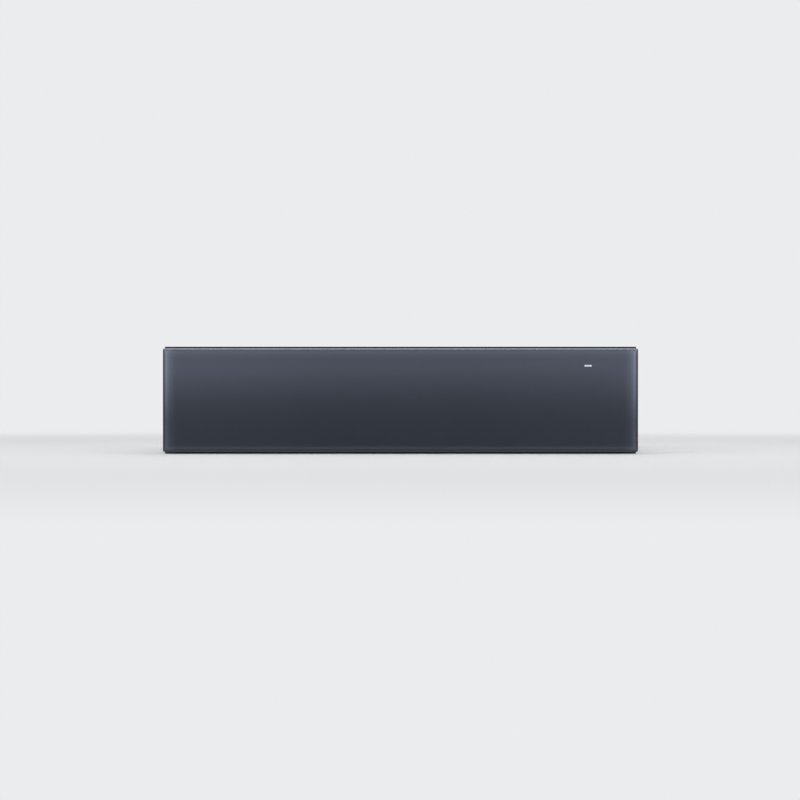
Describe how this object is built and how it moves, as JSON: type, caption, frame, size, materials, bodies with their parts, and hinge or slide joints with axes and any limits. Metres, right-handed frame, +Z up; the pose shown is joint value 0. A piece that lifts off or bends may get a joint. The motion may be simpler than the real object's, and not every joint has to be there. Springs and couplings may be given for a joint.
{
  "type": "built-in warming drawer",
  "caption": "Built-in warming drawer: bevelled dark glass front without a handle, heated steel tub on ball-bearing runners, in a sheet-steel casing.",
  "frame": {"origin": "middle of the underside of the whole appliance, drawer closed", "axes": "+X to the right seen from the front, -Y out of the front, +Z up"},
  "size_m": [0.597, 0.54, 0.135],
  "materials": {
    "dark_glass": "toned glass with a polished bevel",
    "black_steel": "satin black paint",
    "galvanised_steel": "zinc-coated sheet",
    "stainless_steel": "fine brushed",
    "zinc_rail": "bright zinc plate",
    "bearing_steel": "polished",
    "black_silicone": "matt",
    "black_plastic": "satin moulded",
    "grey_plastic": "moulded",
    "light_guide": "clear, lit from behind",
    "circuit_board": "green board",
    "heater_sheath": "heat-tinted tube",
    "insulation": "needled fibre blanket",
    "motor_steel": "dark laminations",
    "wire_sleeve": "woven sleeve"
  },
  "bodies": {
    "casing": {"casing_base": "galvanised_steel", "casing_side_right": "galvanised_steel", "casing_side_left": "galvanised_steel", "casing_rear_panel": "galvanised_steel", "casing_top_cover": "galvanised_steel", "front_frame": "black_steel", "frame_bumper_lower_left": "black_silicone", "frame_bumper_upper_left": "black_silicone", "frame_bumper_lower_right": "black_silicone", "frame_bumper_upper_right": "black_silicone", "runner_outer_member_right": "zinc_rail", "runner_outer_member_left": "zinc_rail", "latch_housing": "grey_plastic", "cable_gland": "black_plastic", "terminal_block": "grey_plastic", "supply_ribbon": "wire_sleeve"},
    "drawer": {"front_glass": "dark_glass", "front_carrier": "black_steel", "front_inner_panel": "stainless_steel", "indicator_lens": "light_guide", "front_bracket_right": "galvanised_steel", "front_bracket_left": "galvanised_steel", "chassis_base": "galvanised_steel", "chassis_side_right": "galvanised_steel", "chassis_side_left": "galvanised_steel", "chassis_back": "galvanised_steel", "warming_tub": "stainless_steel", "anti_slip_mat": "black_silicone", "control_deck": "stainless_steel", "control_fascia": "black_plastic", "control_housing": "grey_plastic", "control_board": "circuit_board", "thermostat": "grey_plastic", "power_switch": "grey_plastic", "insulation_pad": "insulation", "heater_tray": "stainless_steel", "heater_element": "heater_sheath", "fan_grille": "stainless_steel", "fan_housing": "galvanised_steel", "fan_motor": "motor_steel", "thermal_cutout": "black_plastic", "temperature_sensor": "zinc_rail", "control_harness": "wire_sleeve", "latch_striker": "zinc_rail", "runner_inner_member_right": "zinc_rail", "runner_inner_member_left": "zinc_rail"},
    "runner_middle_right": {"runner_middle_member_right": "zinc_rail"},
    "runner_middle_left": {"runner_middle_member_left": "zinc_rail"},
    "cage_outer_right": {"ball_cage_outer_right": "bearing_steel"},
    "cage_outer_left": {"ball_cage_outer_left": "bearing_steel"},
    "cage_inner_right": {"ball_cage_inner_right": "bearing_steel"},
    "cage_inner_left": {"ball_cage_inner_left": "bearing_steel"},
    "fan_rotor": {"fan_impeller": "motor_steel"},
    "temperature_dial": {"temperature_knob": "black_plastic", "knob_spindle": "bearing_steel"},
    "power_key": {"power_button": "black_plastic"},
    "latch_pin": {"latch_plunger": "black_plastic"}
  },
  "joints": [
    {"name": "drawer_slide", "type": "slide", "parent": "casing", "child": "drawer", "axis": [0, -1, 0], "range_m": [-0.0025, 0.43], "deforming": ["supply_ribbon"]},
    {"name": "runner_middle_right_slide", "type": "slide", "parent": "casing", "child": "runner_middle_right", "axis": [0, -1, 0], "range_m": [-0.00125, 0.215]},
    {"name": "runner_middle_left_slide", "type": "slide", "parent": "casing", "child": "runner_middle_left", "axis": [0, -1, 0], "range_m": [-0.00125, 0.215]},
    {"name": "cage_outer_right_slide", "type": "slide", "parent": "casing", "child": "cage_outer_right", "axis": [0, -1, 0], "range_m": [-0.00063, 0.1075]},
    {"name": "cage_outer_left_slide", "type": "slide", "parent": "casing", "child": "cage_outer_left", "axis": [0, -1, 0], "range_m": [-0.00063, 0.1075]},
    {"name": "cage_inner_right_slide", "type": "slide", "parent": "casing", "child": "cage_inner_right", "axis": [0, -1, 0], "range_m": [-0.00187, 0.3225]},
    {"name": "cage_inner_left_slide", "type": "slide", "parent": "casing", "child": "cage_inner_left", "axis": [0, -1, 0], "range_m": [-0.00187, 0.3225]},
    {"name": "fan_spin", "type": "hinge", "parent": "drawer", "child": "fan_rotor", "pos_m": [0, 0.2, 0.07], "axis": [0, 1, 0], "continuous": true},
    {"name": "knob_turn", "type": "hinge", "parent": "drawer", "child": "temperature_dial", "pos_m": [0.1841, -0.2267, 0.12], "axis": [0, 0, -1], "range_deg": [0, 270]},
    {"name": "power_button_press", "type": "slide", "parent": "drawer", "child": "power_key", "axis": [0, 0, -1], "range_m": [0, 0.0015], "stiffness_N_per_m": 1200, "springref_m": -0.0005},
    {"name": "latch_press", "type": "slide", "parent": "casing", "child": "latch_pin", "axis": [0, 1, 0], "range_m": [0, 0.0025], "stiffness_N_per_m": 2000, "springref_m": -0.001}
  ],
  "couplings": [
    {"joint": "runner_middle_right_slide", "follows": "drawer_slide", "ratio": 0.5},
    {"joint": "runner_middle_left_slide", "follows": "drawer_slide", "ratio": 0.5},
    {"joint": "cage_outer_right_slide", "follows": "drawer_slide", "ratio": 0.25},
    {"joint": "cage_outer_left_slide", "follows": "drawer_slide", "ratio": 0.25},
    {"joint": "cage_inner_right_slide", "follows": "drawer_slide", "ratio": 0.75},
    {"joint": "cage_inner_left_slide", "follows": "drawer_slide", "ratio": 0.75}
  ]
}
